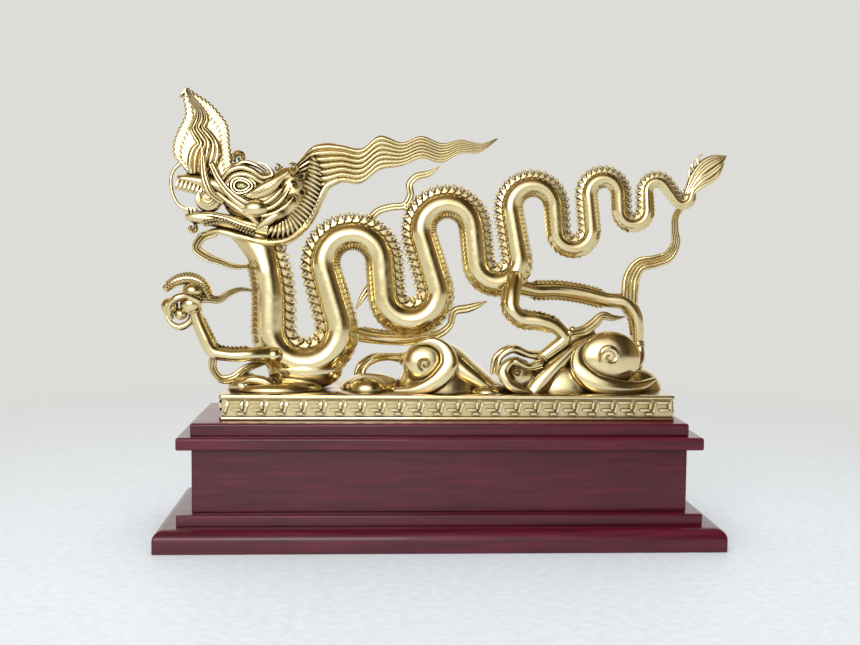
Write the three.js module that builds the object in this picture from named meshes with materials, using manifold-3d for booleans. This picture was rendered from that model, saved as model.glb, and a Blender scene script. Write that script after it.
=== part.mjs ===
// A cast brass dragon on a key-fret base, standing on a stepped plinth of lacquered wood.
// Millimetres, +Z up, viewer on the -Y side, head towards -X, origin in the middle of the plinth's underside.
import * as THREE from "three";
import { mergeVertices } from "three/addons/utils/BufferGeometryUtils.js";
import Module from "manifold-3d";

const wasm = await Module();
wasm.setup();

// Plinth boards from the floor up: length along X, depth along Y, height
const FOOT_EDGE = 10; // width of the foot board's rounded-off upper edge
const PLINTH = [
  { name: "foot_board", length: 500, depth: 192, height: 20, edge: FOOT_EDGE },
  { name: "lower_step_board", length: 464, depth: 156, height: 10 },
  { name: "plinth_box", length: 440, depth: 132, height: 57 },
  { name: "upper_ledge_board", length: 464, depth: 156, height: 11 },
  { name: "top_board", length: 442, depth: 134, height: 11 },
];
const PLINTH_TOP = PLINTH.reduce((z, board) => z + board.height, 0);

// Brass base under the dragon
const BASE = { x: 7, length: 410, depth: 102, height: 23 };
const BASE_TOP = PLINTH_TOP + BASE.height;
const BASE_RIM = 4; // plain border above and below the key-fret band
const BASE_RELIEF = 1.2; // how far the border stands out

// Body: the bends its centre line runs round, neck to tail, with the body's half-thickness at each
const BENDS = [
  { x: -275, z: 213, bend: 119, half: 13.5 },
  { x: -124, z: 187, bend: 32, half: 15.5 },
  { x: -80.5, z: 248.5, bend: 27, half: 11.7 },
  { x: -26, z: 221, bend: 25, half: 13 },
  { x: 7, z: 280, bend: 24, half: 10.7 },
  { x: 54.5, z: 251.5, bend: 20, half: 10.7 },
  { x: 86.5, z: 301.5, bend: 20.5, half: 8.2 },
  { x: 125.5, z: 280.5, bend: 16.5, half: 6.7 },
  { x: 153, z: 314.5, bend: 14.5, half: 6.1 },
  { x: 181.5, z: 299.5, bend: 13, half: 5.1 },
  { x: 203, z: 318, bend: 9.5, half: 3.7 },
  { x: 228, z: 313.5, bend: 7.5, half: 3.2 },
];
const NECK_ANGLE = 0.62; // where the neck leaves the head, round the first bend
const NECK_HALF = 18;
const TAIL_END = { x: 241, z: 331, half: 2.2 };
const CREST_HEIGHT = { neck: 9.5, tail: 6 };
const CREST_HALF_DEPTH = 2.5;
const BELLY_HEIGHT = { neck: 6.5, tail: 3.5 };
const TUFT_HALF_DEPTH = 2.5;
const HEAD_CREST_HALF_DEPTH = 3;

const Y_AXIS = new THREE.Vector3(0, 1, 0);

// Closed skin over a row of rings with equal numbers of points; a fan closes each end.
function skin(rings) {
  const sides = rings[0].length;
  const last = (rings.length - 1) * sides;
  const middle = (ring) =>
    ring.reduce((sum, p) => sum.add(p), new THREE.Vector3()).divideScalar(sides);
  const points = [...rings.flat(), middle(rings[0]), middle(rings.at(-1))];
  const [startCentre, endCentre] = [points.length - 2, points.length - 1];
  const faces = [];
  for (let j = 0; j < sides; j++) {
    const k = (j + 1) % sides;
    for (let row = 0; row < last; row += sides) {
      const [a, b] = [row + j, row + k];
      faces.push(a, a + sides, b + sides, a, b + sides, b);
    }
    faces.push(startCentre, j, k, endCentre, last + k, last + j);
  }
  return new THREE.BufferGeometry().setFromPoints(points).setIndex(faces);
}

// Cross-sections as points (across, depth) for half-width w and half-depth d
const roundSection = (sides) => (w, d) =>
  Array.from({ length: sides }, (_, j) => {
    const angle = (2 * Math.PI * j) / sides;
    return [w * Math.cos(angle), d * Math.sin(angle)];
  });
const frontSection = (w, d) => [
  [w, 0],
  [-w, 0],
  [-0.5 * w, -d],
  [0.5 * w, -d],
];
const strandSection = (strands) => (w, d) => {
  const steps = 2 * strands;
  const front = Array.from({ length: steps - 1 }, (_, j) => [
    w * (1 - (2 * (j + 1)) / steps),
    d * (j % 2 ? 0.55 : 1),
  ]);
  const back = front.map(([across, depth]) => [across, -depth]).reverse();
  return [[w, 0], ...front, [-w, 0], ...back];
};

// A tapering bar through stations [x, y, z, half-width, half-depth]; the width lies across the bar, upright.
function bar(stations, section = roundSection(4), stepsBetween = 1) {
  const curve = new THREE.CatmullRomCurve3(
    stations.map(([x, y, z]) => new THREE.Vector3(x, y, z)),
    false,
    "centripetal",
  );
  const count = (stations.length - 1) * stepsBetween;
  const rings = [];
  for (let i = 0; i <= count; i++) {
    const at = i / stepsBetween;
    const lower = Math.min(Math.floor(at), stations.length - 2);
    const half = (column) =>
      THREE.MathUtils.lerp(
        stations[lower][column] ?? stations[lower][3],
        stations[lower + 1][column] ?? stations[lower + 1][3],
        at - lower,
      );
    const centre = curve.getPoint(i / count);
    const across = curve.getTangent(i / count).cross(Y_AXIS).normalize();
    rings.push(
      section(half(3), half(4)).map(([a, d]) =>
        centre.clone().addScaledVector(across, a).addScaledVector(Y_AXIS, d),
      ),
    );
  }
  return skin(rings);
}

const mirrored = (stations) => stations.map(([x, y, ...rest]) => [x, -y, ...rest]);
const bothSides = (stations) => [bar(stations), bar(mirrored(stations))];

// A scroll that winds clockwise in from its outer radius; the band tapers at its start and with the winding.
const SCROLL_STEPS = 8; // in each turn
const SCROLL_EYE = 0.14; // what is left of the radius at the inner end
function scroll({ x, y, z, radius, band, depth, turns, from }) {
  const count = Math.round(turns * SCROLL_STEPS);
  const stations = Array.from({ length: count + 1 }, (_, i) => {
    const share = 1 - ((1 - SCROLL_EYE) * i) / count;
    const angle = from - (2 * Math.PI * turns * i) / count;
    const r = (radius - band) * share;
    const half = band * share * Math.min(1, (2 * (i + 1)) / SCROLL_STEPS);
    return [x + r * Math.cos(angle), y, z + r * Math.sin(angle), half, depth * (0.6 + 0.4 * share)];
  });
  return bar(stations, frontSection);
}

function ball(x, y, z, halfX, halfY, halfZ, around = 9, rows = 5) {
  const geometry = new THREE.SphereGeometry(1, around, rows);
  return geometry.rotateX(Math.PI / 2).scale(halfX, halfY, halfZ).translate(x, y, z);
}

// A flat plate in the middle plane, from an outline of [x, z] points
function plate(outline, halfDepth) {
  const shape = new THREE.Shape(outline.map(([x, z]) => new THREE.Vector2(x, z)));
  const geometry = new THREE.ExtrudeGeometry(shape, { depth: 2 * halfDepth, bevelEnabled: false });
  return geometry.rotateX(Math.PI / 2).translate(0, halfDepth, 0);
}

// Smooth outline through a few [x, z] points
const smooth = (points, count) =>
  new THREE.SplineCurve(points.map(([x, z]) => new THREE.Vector2(x, z)))
    .getPoints(count)
    .map((p) => [p.x, p.y]);

const box = (x, y, z, length, depth, height) =>
  new THREE.BoxGeometry(length, depth, height).translate(x, y, z);

// Joining with manifold-3d
function solid(geometry) {
  const bare = new THREE.BufferGeometry();
  bare.setAttribute("position", geometry.getAttribute("position"));
  bare.setIndex(geometry.getIndex());
  const merged = mergeVertices(bare, 1e-4);
  const corners = Array.from(merged.getIndex().array);
  const triangles = [];
  for (let i = 0; i < corners.length; i += 3) {
    const [a, b, c] = corners.slice(i, i + 3);
    if (a !== b && b !== c && c !== a) triangles.push(a, b, c);
  }
  return new wasm.Manifold(
    new wasm.Mesh({
      numProp: 3,
      vertProperties: merged.getAttribute("position").array,
      triVerts: new Uint32Array(triangles),
    }),
  );
}
const join = (solids) => solids.reduce((whole, piece) => whole.add(piece));
function geometryOf(manifold) {
  const mesh = manifold.getMesh();
  return new THREE.BufferGeometry()
    .setAttribute("position", new THREE.BufferAttribute(mesh.vertProperties, 3))
    .setIndex(new THREE.BufferAttribute(mesh.triVerts, 1));
}

// Body line: a belt that passes the bends on alternate sides
function bodyLine() {
  const path = new THREE.Path();
  let entry = NECK_ANGLE;
  BENDS.forEach((here, i) => {
    const next = BENDS[i + 1] ?? { ...TAIL_END, bend: 0 };
    const [dx, dz] = [next.x - here.x, next.z - here.z];
    const clockwise = i % 2 === 0;
    const lean = Math.acos((here.bend + next.bend) / Math.hypot(dx, dz));
    const leave = Math.atan2(dz, dx) + (clockwise ? lean : -lean);
    path.absarc(here.x, here.z, here.bend, entry, leave, clockwise);
    entry = leave + Math.PI;
  });
  path.lineTo(TAIL_END.x, TAIL_END.z);
  return path;
}

const BODY = bodyLine();
const BODY_LENGTHS = BODY.getCurveLengths();
const BODY_LENGTH = BODY_LENGTHS.at(-1);

// Lengths along the body at which each bend is half done, with the half-thickness there
const THICKNESS = BENDS.map(({ half }, i) => {
  const arc = 2 * i;
  const before = arc ? BODY_LENGTHS[arc - 1] : 0;
  return [(before + BODY_LENGTHS[arc]) / 2, half];
});
THICKNESS.unshift([0, NECK_HALF]);
THICKNESS.push([BODY_LENGTH, TAIL_END.half]);

function bodyHalf(length) {
  const k = Math.max(1, THICKNESS.findIndex(([end]) => end >= length));
  const [[start, from], [end, to]] = [THICKNESS[k - 1], THICKNESS[k]];
  return THREE.MathUtils.lerp(from, to, (length - start) / (end - start));
}

// Centre, dorsal direction and half-thickness at a length along the body
function bodyAt(length) {
  const at = Math.min(length / BODY_LENGTH, 1);
  const centre = BODY.getPointAt(at);
  const tangent = BODY.getTangentAt(at);
  return { centre, dorsal: new THREE.Vector2(-tangent.y, tangent.x), half: bodyHalf(length), at };
}

// Lengths along the body: a few steps round each bend, fewer along the straight to the next
function bodyStations(bendSteps, straightSteps) {
  const stations = [];
  BODY_LENGTHS.forEach((end, i) => {
    const start = i ? BODY_LENGTHS[i - 1] : 0;
    const steps = i % 2 ? straightSteps : bendSteps;
    for (let k = 0; k < steps; k++) stations.push(start + ((end - start) * k) / steps);
  });
  return [...stations, BODY_LENGTH];
}

// Body: smooth flanks, a toothed crest along the back and a serrated ridge along the belly
function body() {
  const rings = bodyStations(7, 2).map((length, i) => {
    const { centre, dorsal, half, at } = bodyAt(length);
    const tooth = i % 2 ? 1 : 0.72;
    const crest = half + tooth * THREE.MathUtils.lerp(CREST_HEIGHT.neck, CREST_HEIGHT.tail, at);
    const belly = half + tooth * THREE.MathUtils.lerp(BELLY_HEIGHT.neck, BELLY_HEIGHT.tail, at);
    const fin = Math.min(CREST_HALF_DEPTH, 0.4 * half);
    const flank = [
      [crest, fin],
      [0.92 * half, fin],
      [0.45 * half, 0.9 * half],
      [-0.5 * half, 0.87 * half],
    ];
    const otherFlank = flank.map(([a, y]) => [a, -y]).reverse();
    return [...flank, [-belly, 0], ...otherFlank].map(
      ([a, y]) => new THREE.Vector3(centre.x + a * dorsal.x, y, centre.y + a * dorsal.y),
    );
  });
  return skin(rings);
}

// Tail tuft: a leaf with its tip blown back
function tailTuft() {
  const upper = [
    [230, 316],
    [235, 328],
    [240, 342],
    [248, 350],
    [268, 351],
  ];
  const lower = [
    [265, 334],
    [256, 325],
    [245, 321],
    [237, 312],
  ];
  return [
    plate([...upper, ...lower], TUFT_HALF_DEPTH),
    bar([
      [234, 0, 320, 3.5],
      [242, 0, 334, 3.5],
      [250, 0, 341, 3],
      [266, 0, 349, 1.5],
    ]),
  ];
}

// Legs: stations from the body to the wrist or ankle, then the digits
const NEAR_FORELEG = [
  [-150, -8, 164, 9.5],
  [-171, -20, 165, 6.5],
  [-193, -22, 165, 6],
  [-206, -22, 168, 6.5],
  [-213, -22, 180, 6.5],
  [-219, -22, 194, 6],
  [-223, -22, 207, 6],
];
const FAR_FORELEG = [
  [-87, 10, 184, 7.5],
  [-62, 22, 178, 6.5],
  [-31, 26, 176, 6.5],
  [-7, 26, 177, 6.5],
  [-14, 26, 165, 6],
  [-35, 26, 157, 5],
];
const NEAR_HIND_LEG = [
  [69, -5, 236, 9],
  [66, -19, 220, 8],
  [66, -22, 208, 8],
  [74, -22, 200, 7.5],
  [92, -22, 197, 7],
  [108, -22, 191, 6.5],
  [114, -22, 183, 6],
  [104, -22, 172, 6],
  [91, -22, 162, 5.5],
];
const FAR_HIND_LEG = [
  [72, 4, 228, 8],
  [93, 15, 224, 7.5],
  [113, 20, 224, 7.5],
  [136, 22, 221, 7.5],
  [161, 22, 215, 7.5],
  [182, 22, 211, 8],
  [190, 22, 200, 7.5],
  [192, 22, 188, 7],
  [193, 22, 172, 6],
];
const legs = () =>
  [NEAR_FORELEG, FAR_FORELEG, NEAR_HIND_LEG, FAR_HIND_LEG].map((stations) =>
    bar(stations, roundSection(8)),
  );

// Raised paw with its pearl
function nearForepaw() {
  const finger = (y) => [
    [-217, y, 214, 3.5],
    [-230, 1.15 * y, 219, 3.5],
    [-240, 1.15 * y, 215, 3],
    [-245, y, 205, 2.5],
    [-243, y, 197, 1],
  ];
  return [
    ball(-226, -22, 211, 10, 9, 10),
    ball(-245, -22, 209, 8, 8, 8),
    bar([
      [-212, -22, 216, 3.5],
      [-220, -22, 230, 4],
      [-231, -22, 234, 4],
      [-241, -22, 231, 3.5],
      [-248, -22, 223, 1.5],
    ]),
    bar(finger(-28)),
    bar(finger(-16)),
    bar([
      [-223, -22, 204, 3.5],
      [-228, -22, 194, 3.5],
      [-237, -22, 190, 3],
      [-245, -22, 195, 2.5],
      [-249, -22, 204, 1],
    ]),
  ];
}

// A paw spread on the ground: digits side by side, the knuckle raised and the claw turned down
function spreadPaw(stations, spread) {
  return spread.map(([shift, reach]) =>
    bar(
      stations.map(([x, y, z, w], i) => [
        stations[0][0] + (x - stations[0][0]) * reach,
        y + (shift * i) / (stations.length - 1),
        z,
        w,
      ]),
    ),
  );
}
const NEAR_HIND_DIGIT = [
  [95, -22, 165, 4.5],
  [80, -24, 167, 4],
  [63, -26, 172, 3.5],
  [51, -26, 165, 3],
  [47, -26, 148, 1],
];
const FAR_FORE_DIGIT = [
  [-33, 26, 158, 4.5],
  [-50, 24, 159, 4],
  [-63, 22, 158, 3.5],
  [-74, 20, 151, 3],
  [-79, 18, 138, 1],
];
const FAR_HIND_DIGIT = [
  [193, 22, 175, 5],
  [195, 19, 164, 4],
  [191, 15, 154, 3.5],
  [185, 12, 142, 1],
];
const spreadPaws = () => [
  ...spreadPaw(NEAR_HIND_DIGIT, [
    [-12, 0.86],
    [-1, 1],
    [10, 0.92],
  ]),
  ...spreadPaw(FAR_FORE_DIGIT, [
    [-10, 0.85],
    [2, 1],
    [14, 0.9],
  ]),
  ...spreadPaw(FAR_HIND_DIGIT, [
    [-10, 1],
    [0, -0.2],
    [12, 0.8],
  ]),
];

// Flame ribbons that trail from the limbs and the body
const RIBBONS = {
  forepaw: [
    [-222, -20, 216, 4, 3],
    [-210, -19, 216, 4, 3],
    [-202, -17, 215, 3.5, 3],
    [-192, -14, 221, 3, 2.5],
    [-183, -11, 224, 2.5, 2],
    [-168, -6, 222, 1.5, 1.5],
  ],
  elbow: [
    [-206, -22, 165, 4, 3],
    [-206, -22, 151, 4, 3],
    [-199, -22, 143, 4, 3],
    [-188, -21, 144, 4.5, 3],
    [-179, -19, 151, 4, 3],
    [-162, -12, 158, 3, 3],
  ],
  shoulder: [
    [-68, 4, 284, 4, 2.5],
    [-57, 6, 297, 3.5, 2.5],
    [-44, 6, 301, 3.5, 2.5],
    [-32, 6, 303, 3.5, 2.5],
    [-27, 6, 312, 3.5, 2.5],
    [-28, 6, 322, 3.5, 2.5],
    [-22, 6, 329, 3.5, 2.5],
    [-11, 6, 332, 3, 2],
    [1, 6, 339, 0.6],
  ],
  loop: [
    [-77, 8, 206, 1],
    [-72, 9, 215, 3, 2.5],
    [-65, 10, 225, 4, 3],
    [-55, 8, 237, 4, 3],
  ],
  farElbow: [
    [-9, 22, 178, 4.5, 3],
    [3, 20, 182, 4, 3],
    [12, 20, 190, 3.5, 3],
    [16, 20, 203, 4, 3],
    [29, 20, 206, 4, 2.5],
    [38, 20, 209, 3, 2],
    [47, 20, 213, 0.8],
  ],
  hock: [
    [114, -21, 184, 4, 4],
    [125, -20, 187, 4.5, 4],
    [134, -19, 189, 4.5, 3.5],
    [143, -18, 195, 4.5, 3],
    [151, -17, 202, 4, 2.5],
    [161, -16, 200, 3, 2],
    [172, -15, 201, 0.8],
  ],
};
const KNEE_RIBBON = [
  [184, 21, 211, 8.5, 5],
  [184, 20, 222, 8.5, 4.5],
  [185, 20, 235, 8.5, 4],
  [192, 18, 248, 7.5, 4],
  [206, 15, 252, 6.5, 4],
  [218, 11, 257, 6, 3.5],
  [224, 8, 269, 5, 3],
  [222, 5, 282, 4, 3],
  [222, 3, 294, 3.5, 2.5],
  [229, 0, 306, 3, 2.5],
];
const ribbons = () => [
  ...Object.values(RIBBONS).map((stations) => bar(stations)),
  bar(KNEE_RIBBON, strandSection(3)),
];

// Head: skull, jaws, pearl in the mouth, teeth
function headCore() {
  const pearl = new THREE.LatheGeometry(
    [
      [0, -10],
      [9, -9],
      [12.5, -3],
      [12.5, 3],
      [9, 9],
      [0, 10],
    ].map(([r, y]) => new THREE.Vector2(r, y)),
    14,
  );
  const tooth = (x, z, height) =>
    new THREE.ConeGeometry(3, Math.abs(height), 5)
      .rotateX(height > 0 ? Math.PI / 2 : -Math.PI / 2)
      .scale(1, 2, 1)
      .translate(x, 0, z);
  return [
    ball(-163, 0, 307, 37, 14, 25, 10, 6),
    ball(-137, 0, 312, 24, 12, 27, 10, 6),
    pearl.translate(-212, 0, 307),
    bar(
      [
        [-240, 0, 325, 3.5, 8],
        [-229, 0, 324, 5.5, 9],
        [-214, 0, 321, 8.5, 11],
        [-194, 0, 316, 12, 13],
      ],
      roundSection(8),
    ),
    bar(
      [
        [-231, 0, 290, 5, 7],
        [-216, 0, 289, 7, 9],
        [-200, 0, 287, 8, 11],
        [-184, 0, 284, 9, 13],
        [-160, 0, 281, 11, 13],
      ],
      roundSection(8),
    ),
    ball(-228, 0, 277, 6, 6, 8),
    tooth(-238, 319, -8),
    tooth(-231, 318, -8),
    tooth(-229, 296, 8),
    tooth(-222, 296, 7),
  ];
}

// Flame crest above the nose: a thin scalloped leaf and the wavy trunk of the flame on it
function headCrest() {
  const outline = smooth(
    [
      [-222, 322],
      [-236, 337],
      [-243, 347],
      [-243.5, 356],
      [-239, 369],
      [-232, 385],
      [-234, 408],
      [-221, 399],
      [-211, 391],
      [-199, 379],
      [-194, 365],
      [-191, 345],
      [-189, 325],
    ],
    24,
  );
  const trunk = [
    [-219, 0, 330, 10, 8],
    [-218, 0, 341, 13.5, 7],
    [-215, 0, 351, 14, 7],
    [-213, 0, 357, 11.5, 6],
    [-216, 0, 363, 10.5, 6],
    [-221, 0, 369, 9, 5.5],
    [-220, 0, 376, 7.5, 5],
    [-218.5, 0, 382, 5.5, 4.5],
    [-224.5, 0, 390, 4, 4],
    [-227, 0, 399, 3, 3],
    [-232, 0, 406, 1],
  ];
  return [plate(outline, HEAD_CREST_HALF_DEPTH), bar(trunk)];
}

// Features carved alike on both sides of the head
function headSides() {
  const tusk = [
    [-217, -11, 353, 1],
    [-216, -12, 341, 2.5],
    [-214, -13, 324, 4],
    [-209, -13, 312, 4],
    [-196, -11, 302, 3],
  ];
  const upperLip = [
    [-208, -10, 337, 3.5],
    [-201, -12, 323, 4],
    [-192, -13, 312, 4.5],
    [-180, -13, 303, 5.5],
    [-165, -12, 297, 6],
  ];
  const brow = [
    [-199, -11, 324, 2.5],
    [-191, -13, 332, 3],
    [-182, -13, 335, 3.5],
    [-171, -13, 332, 3.5],
    [-161, -12, 326, 3],
    [-154, -11, 328, 2.5],
    [-157, -11, 335, 2],
    [-166, -10, 339, 0.6],
  ];
  const ear = [
    [-176, -13, 309, 3],
    [-162, -14, 314, 7, 3.5],
    [-153, -15, 319, 6, 3],
    [-139, -16, 330, 0.8],
  ];
  const lowerLeaf = [
    [-166, -10, 282, 3],
    [-156, -12, 288, 4, 3],
    [-143, -13, 298, 0.8],
  ];
  const eye = (y) => [
    ball(-181, y, 319, 11, 3, 8, 8, 4),
    ball(-181, 1.2 * y, 319, 5.5, 2.5, 3, 6, 4),
  ];
  return [
    ...[tusk, upperLip, brow, ear, lowerLeaf].flatMap(bothSides),
    ...eye(-13),
    ...eye(13),
    scroll({
      x: -184, y: 3, z: 344, radius: 9.5, band: 2.8, depth: 7, turns: 1.3, from: 3.9,
    }),
  ];
}

// Pleated comb round the cheek, set by its middle line and half-width
function cheekComb() {
  const middle = smooth(
    [
      [-163, 279],
      [-146, 278],
      [-134, 283],
      [-125, 297],
      [-119, 314],
      [-115, 332],
      [-116, 344],
    ],
    14,
  );
  const stations = middle.map(([x, z], i) => {
    const along = i / (middle.length - 1);
    const width = 2 + 7 * Math.sin(Math.PI * along) ** 0.7;
    return [x, 0, z, width, i % 2 ? 9 : 7];
  });
  return bar(stations);
}

// Smooth band under the jaw that turns up behind the cheek into the mane, and the beard
const throatAndBeard = () => [
  bar([
    [-218, 0, 272, 3.5, 5],
    [-205, 0, 277, 4, 6],
    [-184, 0, 273, 4.5, 8],
    [-157, 0, 268, 4.5, 9],
    [-139, 0, 271, 4.5, 9],
    [-128, 0, 280, 4.5, 8],
    [-117, 0, 294, 4.5, 7],
    [-111, 0, 308, 4.5, 6],
    [-104, 0, 322, 4.5, 5],
  ]),
  bar([
    [-206, 0, 276, 4, 5],
    [-219, 0, 271, 4.5, 5],
    [-224, 0, 262, 4.5, 4],
    [-215, 0, 254, 4.5, 4],
    [-202, 0, 249, 3.5, 3.5],
    [-191, 0, 245, 3, 3],
    [-176, 0, 245, 2.5, 3],
  ]),
  bar([
    [-238, 0, 338, 2, 2],
    [-245, 0, 331, 1.8],
    [-246, 0, 314, 1.8],
    [-240, 0, 301, 1.8],
    [-226, 0, 295, 2.2],
  ]),
];

// Mane: wavy locks that run back from the head to one point; each slice is upright
const MANE = [
  [-130, 331, 9],
  [-118, 337, 19],
  [-106, 338, 21],
  [-90.5, 340, 17.5],
  [-74, 338, 16.5],
  [-55.5, 350.5, 16],
  [-35, 349.5, 11],
  [-18, 356, 10.5],
  [2, 351, 9],
  [19, 357, 6.5],
  [37, 356, 4.5],
  [53, 364.5, 1],
];
const MANE_HALF_DEPTH = { root: 9, tip: 1 };
function mane() {
  const locks = strandSection(4);
  const rings = MANE.map(([x, z, w], i) => {
    const along = i / (MANE.length - 1);
    const depth = THREE.MathUtils.lerp(MANE_HALF_DEPTH.root, MANE_HALF_DEPTH.tip, along ** 0.6);
    return locks(w, depth).map(([a, y]) => new THREE.Vector3(x, y, z + a));
  });
  return skin(rings);
}

// Rocks and curling clouds under the dragon
function ground() {
  const slopes = [
    ball(-138, -6, 134, 58, 28, 13, 9, 4),
    ball(-62, 6, 132, 32, 30, 14, 9, 4),
    ball(6, -4, 130, 46, 34, 34, 9, 4),
    ball(186, 16, 128, 26, 24, 24, 9, 4),
  ];
  const rockUnderHock = [
    [140, -2, 182, 7, 14],
    [122, -4, 172, 9, 16],
    [108, -8, 156, 9, 20],
    [92, -12, 128, 10, 20],
  ];
  return [
    ...slopes,
    bar(rockUnderHock),
    ball(-16, -24, 156, 22, 14, 22),
    scroll({ x: -13, y: -30, z: 158, radius: 26, band: 6, depth: 11, turns: 1.5, from: 1.9 }),
    ball(70, -26, 142, 16, 12, 18),
    scroll({ x: 68, y: -30, z: 147, radius: 17, band: 4.5, depth: 11, turns: 1.5, from: -1.6 }),
    ball(156, -6, 154, 34, 20, 30),
    scroll({ x: 156, y: -12, z: 165, radius: 38, band: 7, depth: 14, turns: 2.1, from: -0.5 }),
  ];
}

// Brass base: plain borders above and below a sunk band on all four sides
function brassBase() {
  const { x, length, depth, height } = BASE;
  const rimLow = PLINTH_TOP + BASE_RIM / 2;
  const rimHigh = BASE_TOP - BASE_RIM / 2;
  const core = box(
    x, 0, PLINTH_TOP + height / 2,
    length - 2 * BASE_RELIEF, depth - 2 * BASE_RELIEF, height,
  );
  const rims = [rimLow, rimHigh].map((z) => box(x, 0, z, length, depth, BASE_RIM));
  return [core, ...rims].map(solid);
}

// Everything above stays above the underside of the brass base
function dragon() {
  const pieces = [
    body(),
    ...tailTuft(),
    ...legs(),
    ...nearForepaw(),
    ...spreadPaws(),
    ...ribbons(),
    ...headCore(),
    ...headCrest(),
    ...headSides(),
    cheekComb(),
    ...throatAndBeard(),
    mane(),
    ...ground(),
  ].map(solid);
  const below = solid(box(BASE.x, 0, PLINTH_TOP - 50, 2 * BASE.length, 2 * BASE.depth, 100));
  const figure = join(pieces).subtract(below);
  return join([figure, ...brassBase()]);
}

// A board whose upper edges may be rounded off
function plinthBoard({ length, depth, height, edge = 0 }, z) {
  if (!edge) return box(0, 0, z + height / 2, length, depth, height);
  const steps = 4;
  const levels = Array.from({ length: steps + 1 }, (_, i) => {
    const angle = (Math.PI / 2) * (i / steps);
    return [edge * (1 - Math.cos(angle)), z + height - edge + edge * Math.sin(angle)];
  });
  const ring = ([inset, level]) => {
    const [a, b] = [length / 2 - inset, depth / 2 - inset];
    return [
      new THREE.Vector3(-a, -b, level),
      new THREE.Vector3(-a, b, level),
      new THREE.Vector3(a, b, level),
      new THREE.Vector3(a, -b, level),
    ];
  };
  return skin([[0, z], ...levels].map(ring));
}

const brass = new THREE.MeshStandardMaterial({ color: 0xc9ad62, roughness: 0.3, metalness: 1 });
const lacquer = () =>
  new THREE.MeshStandardMaterial({ color: 0x5a1420, roughness: 0.25, metalness: 0 });

function named(name, geometry, material) {
  const mesh = new THREE.Mesh(geometry, material);
  mesh.name = name;
  return mesh;
}

const sculpture = new THREE.Group();
sculpture.name = "dragon_sculpture";
let level = 0;
for (const board of PLINTH) {
  sculpture.add(named(board.name, plinthBoard(board, level), lacquer()));
  level += board.height;
}
sculpture.add(named("dragon", geometryOf(dragon()), brass));

export default sculpture;
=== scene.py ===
# A cast brass dragon on a key-fret base, standing on a stepped plinth of lacquered wood.
# The object's lengths are in millimetres, made metres by MM; the camera, lights and floor are in metres.
# +X runs from the head to the tail, the viewer stands on the -Y side, and +Z is up.
import math

import bpy
import numpy as np
from mathutils import Matrix, Vector


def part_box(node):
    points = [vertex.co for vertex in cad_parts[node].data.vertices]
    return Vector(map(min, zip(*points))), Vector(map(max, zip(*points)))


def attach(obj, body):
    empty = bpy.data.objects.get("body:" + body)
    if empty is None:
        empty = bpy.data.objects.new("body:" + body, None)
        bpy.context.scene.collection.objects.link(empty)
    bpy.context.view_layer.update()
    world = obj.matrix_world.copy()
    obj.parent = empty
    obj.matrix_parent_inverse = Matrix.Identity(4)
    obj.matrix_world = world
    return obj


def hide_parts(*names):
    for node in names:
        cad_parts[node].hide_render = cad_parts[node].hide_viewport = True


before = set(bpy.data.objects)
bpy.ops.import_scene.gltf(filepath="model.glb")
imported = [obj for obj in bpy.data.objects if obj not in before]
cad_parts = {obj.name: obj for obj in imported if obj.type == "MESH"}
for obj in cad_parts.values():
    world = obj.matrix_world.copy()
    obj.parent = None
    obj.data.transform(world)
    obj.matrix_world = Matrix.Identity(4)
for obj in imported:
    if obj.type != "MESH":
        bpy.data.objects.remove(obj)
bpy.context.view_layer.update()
scene = bpy.context.scene

MM = 0.001
SHARP_ANGLE = {"brass": 42, "wood": 40}  # degrees above which an edge isn't shaded smooth
Y_AXIS = np.array([0.0, 1.0, 0.0])
PLINTH_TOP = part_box("top_board")[1].z / MM

# Brass base under the dragon
BASE = {"x": 7, "length": 410, "depth": 102, "height": 23}
BASE_TOP = PLINTH_TOP + BASE["height"]
BASE_RIM = 3.6
BASE_RELIEF = 2.0
BASE_ROUNDING = 1.2
BASE_CORNER = 2.5

# Bends that the body's centre line runs round, neck to tail: x, z, radius, half-thickness of the body
BENDS = [
    (-275, 213, 119, 13.5),
    (-124, 187, 32, 15.5),
    (-80.5, 248.5, 27, 11.7),
    (-26, 221, 25, 13),
    (7, 280, 24, 10.7),
    (54.5, 251.5, 20, 10.7),
    (86.5, 301.5, 20.5, 8.2),
    (125.5, 280.5, 16.5, 6.7),
    (153, 314.5, 14.5, 6.1),
    (181.5, 299.5, 13, 5.1),
    (203, 318, 9.5, 3.7),
    (228, 313.5, 7.5, 3.2),
]
NECK_ANGLE = 0.62
NECK_HALF = 18
NECK_SLIM = 45  # length over which the neck narrows in depth towards the head
NECK_END_DEPTH = 0.3  # depth of the neck's end in the head, as a share of its full depth
TAIL_END = (241, 331)
TAIL_HALF = 2.2
CREST_HEIGHT = (9.5, 6)  # at the neck, at the tail
CREST_PITCH = (8.4, 5.2)
CREST_MIDDLE = 0.45  # height of the crest's middle line, as a share of the crest's height
CREST_FROM = 22  # length along the neck that the head hides
CREST_MARGIN = 8  # length left without curls at either end
FIN_HEIGHT = 0.6  # as a share of the crest's height
FIN_HALF = 1.7
FIN_MARGIN = 4
BELLY_HEIGHT = (4.2, 2.7)
BELLY_PITCH = (5.2, 3.4)
BELLY_NOTCH = 0.68
BELLY_FROM = 32
BELLY_MARGIN = 12
SCUTE_TAPER = 8  # length over which a row of scutes grows to its full height
SCUTE_RISE = (0.06, 0.86)  # where a scute starts and where it is highest, as shares of its pitch
TIP = 0.3  # least half-width of a swept band


# Closed shells: each is (points, faces)

def unit(vectors):
    return vectors / np.linalg.norm(vectors, axis=-1, keepdims=True)


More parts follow.
